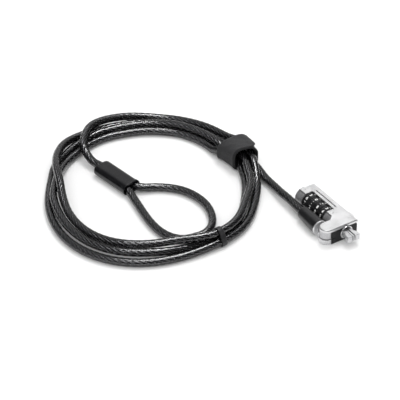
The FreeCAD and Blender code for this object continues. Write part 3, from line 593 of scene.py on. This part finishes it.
def make_rope(points, knots, slopes):
    """Six strands laid round a straight one."""
    end = knots[-1]
    steps = int(end / (0.9))
    at = np.linspace(0, end - ROPE_END_GAP, steps)
    places, ahead = along(points, knots, slopes, at)
    level, upright = square_frames(ahead)
    verts = []
    faces = []
    lay = []
    for k in range(ROPE_STRANDS + 1):
        out = STRAND_OUT if k < ROPE_STRANDS else 0.0
        turn = at * 2 * math.pi / ROPE_PITCH + k * 2 * math.pi / ROPE_STRANDS
        line = places + out * (level * np.cos(turn)[:, None] + upright * np.sin(turn)[:, None])
        direction = np.gradient(line, axis=0)
        direction /= np.linalg.norm(direction, axis=1)[:, None]
        rings = tube_rings(line, direction, np.full((steps, STRAND_SIDES), STRAND_R))
        faces += skin_faces(steps, STRAND_SIDES, len(verts) * steps * STRAND_SIDES)
        verts.append(rings.reshape(-1, 3))
        spread = np.zeros((steps, STRAND_SIDES, 3))
        spread[:, :, 0] = at[:, None] + STRAND_SHIFT * k
        spread[:, :, 1] = np.arange(STRAND_SIDES)[None, :] / STRAND_SIDES
        # how far out from the cable's middle; drives the painted shade in the gaps between strands
        spread[:, :, 2] = np.linalg.norm(rings - places[:, None, :], axis=2)
        lay.append(spread.reshape(-1, 3))
    rope = mesh_object("cable_rope", np.concatenate(verts), faces, "cable_coil", ROPE,
                       lay=np.concatenate(lay))
    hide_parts("cable_core")


def make_cable():
    points = cable_points()
    knots, slopes = spline(points)
    make_vinyl(points, knots, slopes)
    make_rope(points, knots, slopes)


# ---------------------------------------------------------------- strap and tie
SIDE_POINTS = 40                   # on each straight side of an outline
CORNER_POINTS = 30                 # on each of its rounded corners


def bundle_outline(strands, reach, count):
    """Even points on the rounded outline a distance outside a convex ring of centres.

    Returns (inwards, up) places and outward directions, starting under the bundle."""
    corners = np.array(strands, dtype=float)
    total = len(corners)
    parts = []
    for i in range(total):
        side = corners[(i + 1) % total] - corners[i]
        out = np.array([side[1], -side[0]]) / np.linalg.norm(side)
        parts.append((corners[i], corners[(i + 1) % total], out))
    places = []
    normals = []
    for i in range(total):
        a, b, out = parts[i]
        for s in np.linspace(0, 1, SIDE_POINTS, endpoint=False):
            places.append(a + (b - a) * s + out * reach)
            normals.append(out)
        later = parts[(i + 1) % total][2]
        start = math.atan2(out[1], out[0])
        sweep = (math.atan2(later[1], later[0]) - start) % (2 * math.pi)
        for s in np.linspace(0, 1, CORNER_POINTS, endpoint=False):
            direction = np.array([math.cos(start + sweep * s), math.sin(start + sweep * s)])
            places.append(b + direction * reach)
            normals.append(direction)
    places = np.array(places)
    normals = np.array(normals)
    closed = np.vstack([places, places[:1]])
    distance = np.concatenate([[0], np.cumsum(np.linalg.norm(np.diff(closed, axis=0), axis=1))])
    want = np.arange(count) * distance[-1] / count
    ring = [np.interp(want, distance, closed[:, k]) for k in (0, 1)]
    turned = np.vstack([normals, normals[:1]])
    out = [np.interp(want, distance, turned[:, k]) for k in (0, 1)]
    out = np.array(out).T
    out /= np.linalg.norm(out, axis=1)[:, None]
    return np.array(ring).T, out


def grid_sheet(name, low, high, body, material, lay):
    """Closed thin sheet between two matching grids of points (rows, columns, 3)."""
    rows, columns = low.shape[:2]
    verts = np.concatenate([low.reshape(-1, 3), high.reshape(-1, 3)])
    shift = rows * columns
    faces = []

    def at(i, j, top):
        return i * columns + j + (shift if top else 0)

    for i in range(rows - 1):
        for j in range(columns - 1):
            faces.append((at(i, j, 1), at(i + 1, j, 1), at(i + 1, j + 1, 1), at(i, j + 1, 1)))
            faces.append((at(i, j, 0), at(i, j + 1, 0), at(i + 1, j + 1, 0), at(i + 1, j, 0)))
    for i in range(rows - 1):
        for j in (0, columns - 1):
            face = (at(i, j, 0), at(i + 1, j, 0), at(i + 1, j, 1), at(i, j, 1))
            faces.append(face if j == 0 else face[::-1])
    for j in range(columns - 1):
        for i in (0, rows - 1):
            face = (at(i, j, 0), at(i, j, 1), at(i, j + 1, 1), at(i, j + 1, 0))
            faces.append(face if i == 0 else face[::-1])
    both = np.concatenate([lay.reshape(-1, 3), lay.reshape(-1, 3)])
    return mesh_object(name, verts, faces, body, material, lay=both)


def strap_place(angle, share, shrink):
    """Point of the strap's loop: angle round it, share from the near to the far rim."""
    near, far = STRAP_RIMS
    turn, centre_in, half_in, centre_up, half_up = (
        a + (b - a) * share for a, b in zip(near, far))
    power = STRAP_CORNERS[0] if math.sin(angle) > 0 else STRAP_CORNERS[1]
    side = math.copysign(abs(math.cos(angle)) ** power, math.cos(angle))
    rise = math.copysign(abs(math.sin(angle)) ** power, math.sin(angle))
    inwards = centre_in + side * (half_in - shrink)
    height = centre_up + rise * (half_up - shrink)
    return strand_point(turn, inwards, height - CABLE_R)


def smooth_step(value):
    """Eases from 0 to 1."""
    share = min(max(value, 0.0), 1.0)
    return share * share * (3 - 2 * share)


TAPE_THICK = 0.72
TAPE_START = -40.0                 # degrees round the loop where the tape begins
TAPE_END = 496.0                   # where its free end lies, over the first layer
TAPE_CORNER = 4.5                  # rounding of the free end's corners
TAPE_ACROSS = 24                   # points across the tape
EASE = 30.0                        # degrees over which a layer eases in or out
UNDER = (170.0, 0.5)               # where the part under the lap ends, how far drawn in
OVER = (300.0, 0.28)               # where the lap starts to stand out, and how far
PROUD = (455.0, 41.0, 0.9)         # the lifting end: where it begins, its ease, its lift
HEM = (0.1, 1.2, 0.8)              # raised edge: height, then place and width in columns
SWELL = (0.04, 0.9, 0.6)           # faint waves: height, and rates along and across
LOOP_TOP = 1.57                    # angle of the loop's top, about a quarter turn


def layer_draw(degrees):
    """How far the tape is drawn in (or stands out, below 0) at this angle."""
    start = smooth_step((degrees - TAPE_START) / EASE)
    under = start * smooth_step((UNDER[0] - degrees) / EASE)
    over = smooth_step((degrees - OVER[0]) / EASE)
    proud = smooth_step((degrees - PROUD[0]) / PROUD[1])
    return UNDER[1] * under - OVER[1] * over - PROUD[2] * proud


def corner_cut(left):
    """How much narrower each side is, this far from the tape's free end."""
    if left >= TAPE_CORNER:
        return 0.0
    return TAPE_CORNER - math.sqrt(max(TAPE_CORNER**2 - (TAPE_CORNER - left) ** 2, 0.0))


def make_strap():
    """One tape wound round the bundle, its rounded free end lapped over itself."""
    rows = 250
    angles = np.radians(np.linspace(TAPE_START, TAPE_END, rows))
    middle = np.array([strap_place(a, 0.5, 0.0) for a in angles])
    run = np.concatenate([[0], np.cumsum(np.linalg.norm(np.diff(middle, axis=0), axis=1))])
    width = np.linalg.norm(strap_place(LOOP_TOP, 0.0, 0.0) - strap_place(LOOP_TOP, 1.0, 0.0))
    low = np.zeros((rows, TAPE_ACROSS, 3))
    high = np.zeros_like(low)
    lay = np.zeros_like(low)
    for i, angle in enumerate(angles):
        shrink = layer_draw(math.degrees(angle))
        cut = corner_cut(run[-1] - run[i])
        for j in range(TAPE_ACROSS):
            place = j / (TAPE_ACROSS - 1)
            share = (cut + (width - 2 * cut) * place) / width
            edge = min(place, 1 - place) * (TAPE_ACROSS - 1)
            hem = HEM[0] * math.exp(-((edge - HEM[1]) / HEM[2]) ** 2)
            swell = SWELL[0] * math.sin(run[i] * SWELL[1] + j * SWELL[2])
            low[i, j] = strap_place(angle, share, shrink + TAPE_THICK)
            high[i, j] = strap_place(angle, share, shrink - hem - swell)
            lay[i, j] = (run[i], share * width, 0)
    tape = grid_sheet("strap_tape", low, high, "cable_coil", STRAP, lay)
    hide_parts("strap")


TIE_AT = 309.5                     # degrees round the coil
TIE_STRANDS = ((0.0, 0.8), (5.2, 0.8), (2.9, 5.7))    # (inwards, up) of what it holds
TIE_STEPS = 72
TIE_SIDES = 12
TIE_HALF = (1.5, 0.28)             # half its width and half its thickness
TIE_OFF = 0.38                     # its middle, out from the cables' skin


def make_tie():
    """Narrow rubber tie pulled tight round three strands."""
    ring, out = bundle_outline(TIE_STRANDS, CABLE_R, TIE_STEPS)
    profile = []
    for k in range(TIE_SIDES):
        angle = 2 * math.pi * k / TIE_SIDES
        profile.append((TIE_HALF[0] * math.cos(angle), TIE_OFF + TIE_HALF[1] * math.sin(angle)))
    verts = []
    for k in range(TIE_STEPS):
        for sideways, reach in profile:
            flat = ring[k] + out[k] * reach
            verts.append(strand_point(TIE_AT + sideways, flat[0], flat[1]))
    faces = []
    for k in range(TIE_STEPS):
        here = k * TIE_SIDES
        following = ((k + 1) % TIE_STEPS) * TIE_SIDES
        for m in range(TIE_SIDES):
            beside = (m + 1) % TIE_SIDES
            faces.append((here + m, following + m, following + beside, here + beside))
    tie = mesh_object("tie_loop", verts, faces, "cable_coil", TIE)
    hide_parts("tie_band")


# ---------------------------------------------------------------- return spring
SPRING_R = 1.45
SPRING_WIRE = 0.2
SPRING_ENDS = (39.65, 42.65)
SPRING_TURNS = 3.0
SPRING_STEPS = 145
WIRE_SIDES = 8


def make_spring():
    """The spindle's return spring, made at one fixed length; the real one shortens as the spindle
    slides back.
    """
    turn = np.linspace(0, SPRING_TURNS * 2 * math.pi, SPRING_STEPS)
    low = SPRING_ENDS[0] + SPRING_WIRE
    high = SPRING_ENDS[1] - SPRING_WIRE
    line = np.stack([SPRING_R * np.cos(turn), np.linspace(low, high, SPRING_STEPS),
                     SPRING_R * np.sin(turn)], axis=1)
    ahead = np.gradient(line, axis=0)
    ahead /= np.linalg.norm(ahead, axis=1)[:, None]
    out = line * np.array([1.0, 0.0, 1.0]) / SPRING_R
    level = np.cross(ahead, out)
    angle = np.arange(WIRE_SIDES) * 2 * math.pi / WIRE_SIDES
    rings = line[:, None, :] + SPRING_WIRE * (
        out[:, None, :] * np.cos(angle)[None, :, None]
        + level[:, None, :] * np.sin(angle)[None, :, None])
    faces = skin_faces(SPRING_STEPS, WIRE_SIDES)
    coil = mesh_object("return_spring", rings.reshape(-1, 3), faces, "lock_head",
                       FINISHES["spring_steel"])
    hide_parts("spindle_spring")
    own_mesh(coil)


# ---------------------------------------------------------------- digits
DIAL_R = 5.0
DIAL_START = 16.5
DIAL_PITCH = 5.2
DIAL_WIDTH = 5.0
CODE = (3, 7, 0, 5)                # the digits on top
DIGIT_SIZE = 2.7
DIGIT_BOLDER = 0.05                # thickens the strokes
DIGIT_TURN = -36                   # degrees from one digit to the next
DIGIT_DEPTHS = (-0.04, 0.05)       # its back and its face, out from the dial's skin


def digit_mesh(text):
    """Flat faces of one digit, about 2 mm high, centred."""
    curve = bpy.data.curves.new("digit_" + text, "FONT")
    curve.body = text
    curve.size = DIGIT_SIZE
    curve.offset = DIGIT_BOLDER
    curve.align_x = "CENTER"
    curve.align_y = "CENTER"
    curve.resolution_u = 4
    obj = bpy.data.objects.new("digit_" + text, curve)
    bpy.context.scene.collection.objects.link(obj)
    bpy.context.view_layer.update()
    mesh = bpy.data.meshes.new_from_object(obj)
    flat = np.array([v.co[:2] for v in mesh.vertices])
    faces = [tuple(p.vertices) for p in mesh.polygons]
    bpy.data.objects.remove(obj)
    flat -= (flat.max(axis=0) + flat.min(axis=0)) / 2
    return flat, faces


def make_digits():
    """Ten thin raised digits round each dial."""
    digits = [digit_mesh(str(d)) for d in range(10)]
    for number in range(4):
        middle = DIAL_START + DIAL_PITCH * number + DIAL_WIDTH / 2
        verts = []
        faces = []
        for d in range(10):
            flat, polygons = digits[(CODE[number] + d) % 10]
            turn = math.radians(DIGIT_TURN * d)
            for low in DIGIT_DEPTHS:
                first = len(verts)
                for x, y in flat:
                    angle = turn + y / DIAL_R
                    reach = DIAL_R + low
                    verts.append((reach * math.sin(angle), middle - x, reach * math.cos(angle)))
                for polygon in polygons:
                    face = tuple(first + i for i in polygon)
                    faces.append(face if low > 0 else face[::-1])
        mesh_object("dial_%d_digits" % (number + 1), verts, faces,
                    "number_dial_%d" % (number + 1), PRINT)


# ---------------------------------------------------------------- studio
AIM = np.array([-51.8, 75.4, -2.7])
CAMERA_AZIMUTH = math.radians(-33.3)
CAMERA_TILT = math.radians(36.3)
CAMERA_AWAY = 1190.0
LENS = 180
SENSOR = 36
FAR_CLIP = 20                      # metres
FLOOR_HALF = 4000.0
FLOOR_GAP = 0.02                   # the floor lies this far below TABLE
ROOM_LIGHT = 1.2                   # even white room
CARD_LIGHT = (0.12, 0.8)           # what shiny things mirror: dark room, bright card
CARD_EDGE = (0.7, 0.88)
LAMP_LIGHT = (0.0, 11.0)           # a lamp overhead, mirrored as a thin line
LAMP_EDGE = (0.95, 0.975)
LAMP_TOWARD = (0.17, 0.1, 0.98)
LIGHT_AIM = (-0.05, 0.08, 0)       # lights: places in metres, then size and watts
KEY_LIGHT = ((0.3, 0.35, 0.95), 0.4, 3.5)
FILL_LIGHT = ((-0.6, -0.4, 0.9), 0.6, 1.0)


def make_camera():
    """Camera at the viewing angle; returns the direction from the lock towards it."""
    camera = bpy.data.cameras.new("camera")
    camera.lens = LENS
    camera.sensor_width = SENSOR
    camera.clip_end = FAR_CLIP
    obj = bpy.data.objects.new("camera", camera)
    back = np.array([math.sin(CAMERA_AZIMUTH) * math.cos(CAMERA_TILT),
                     -math.cos(CAMERA_AZIMUTH) * math.cos(CAMERA_TILT), math.sin(CAMERA_TILT)])
    obj.location = Vector((AIM + back * CAMERA_AWAY) * MM)
    obj.rotation_euler = Vector(back).to_track_quat("Z", "Y").to_euler()
    bpy.context.scene.collection.objects.link(obj)
    bpy.context.scene.camera = obj
    return back


def make_floor():
    """Plain pale floor, part of the stage and not of the lock."""
    n = Nodes("floor_white")
    speck = n.noise(30, 3, 0.5)
    colour = n.colour_mix(n.ramp(speck, 0.0, 1.0), (0.93, 0.93, 0.93), (0.94, 0.94, 0.94))
    white = n.finish(n.surface(colour, 0.9))
    z = TABLE - FLOOR_GAP
    half = FLOOR_HALF
    verts = [(-half, -half, z), (half, -half, z), (half, half, z), (-half, half, z)]
    floor = mesh_object("floor", verts, [(0, 1, 2, 3)], None, white, smooth=False)


def bright_patch(tree, toward, edge, light):
    """Strength that rises smoothly from light[0] to light[1] towards one direction."""
    place = tree.nodes.new("ShaderNodeTexCoord")
    near = tree.nodes.new("ShaderNodeVectorMath")
    near.operation = "DOT_PRODUCT"
    near.inputs[1].default_value = toward
    fade = tree.nodes.new("ShaderNodeMapRange")
    fade.interpolation_type = "SMOOTHSTEP"
    fade.inputs["From Min"].default_value = edge[0]
    fade.inputs["From Max"].default_value = edge[1]
    fade.inputs["To Min"].default_value = light[0]
    fade.inputs["To Max"].default_value = light[1]
    tree.links.new(place.outputs["Generated"], near.inputs[0])
    tree.links.new(near.outputs["Value"], fade.inputs["Value"])
    return fade.outputs["Result"]


def make_world(back):
    """White room; shiny things mirror a dark one with a bright card and a lamp."""
    world = bpy.data.worlds.new("studio")
    bpy.context.scene.world = world
    world.use_nodes = True
    tree = world.node_tree
    tree.nodes.clear()
    out = tree.nodes.new("ShaderNodeOutputWorld")
    room = tree.nodes.new("ShaderNodeBackground")
    room.inputs["Strength"].default_value = ROOM_LIGHT
    mirrored = tree.nodes.new("ShaderNodeBackground")
    ray = tree.nodes.new("ShaderNodeLightPath")
    both = tree.nodes.new("ShaderNodeMixShader")
    total = tree.nodes.new("ShaderNodeMath")
    total.operation = "ADD"
    card = bright_patch(tree, (-back[0], -back[1], back[2]), CARD_EDGE, CARD_LIGHT)
    lamp = bright_patch(tree, LAMP_TOWARD, LAMP_EDGE, LAMP_LIGHT)
    tree.links.new(card, total.inputs[0])
    tree.links.new(lamp, total.inputs[1])
    tree.links.new(total.outputs[0], mirrored.inputs["Strength"])
    tree.links.new(ray.outputs["Is Glossy Ray"], both.inputs[0])
    tree.links.new(room.outputs[0], both.inputs[1])
    tree.links.new(mirrored.outputs[0], both.inputs[2])
    tree.links.new(both.outputs[0], out.inputs["Surface"])


def area_light(name, place, size, power):
    """Round soft light turned towards the lock."""
    light = bpy.data.lights.new(name, "AREA")
    light.shape = "DISK"
    light.size = size
    light.energy = power
    obj = bpy.data.objects.new(name, light)
    obj.location = Vector(place)
    toward = Vector(LIGHT_AIM) - Vector(place)
    obj.rotation_euler = toward.to_track_quat("-Z", "Y").to_euler()
    bpy.context.scene.collection.objects.link(obj)


def make_studio():
    back = make_camera()
    make_floor()
    make_world(back)
    area_light("key", *KEY_LIGHT)
    area_light("fill", *FILL_LIGHT)
    bpy.context.scene.view_settings.view_transform = "Standard"


dress_cad()
make_cable()
make_strap()
make_tie()
make_spring()
make_digits()
make_studio()
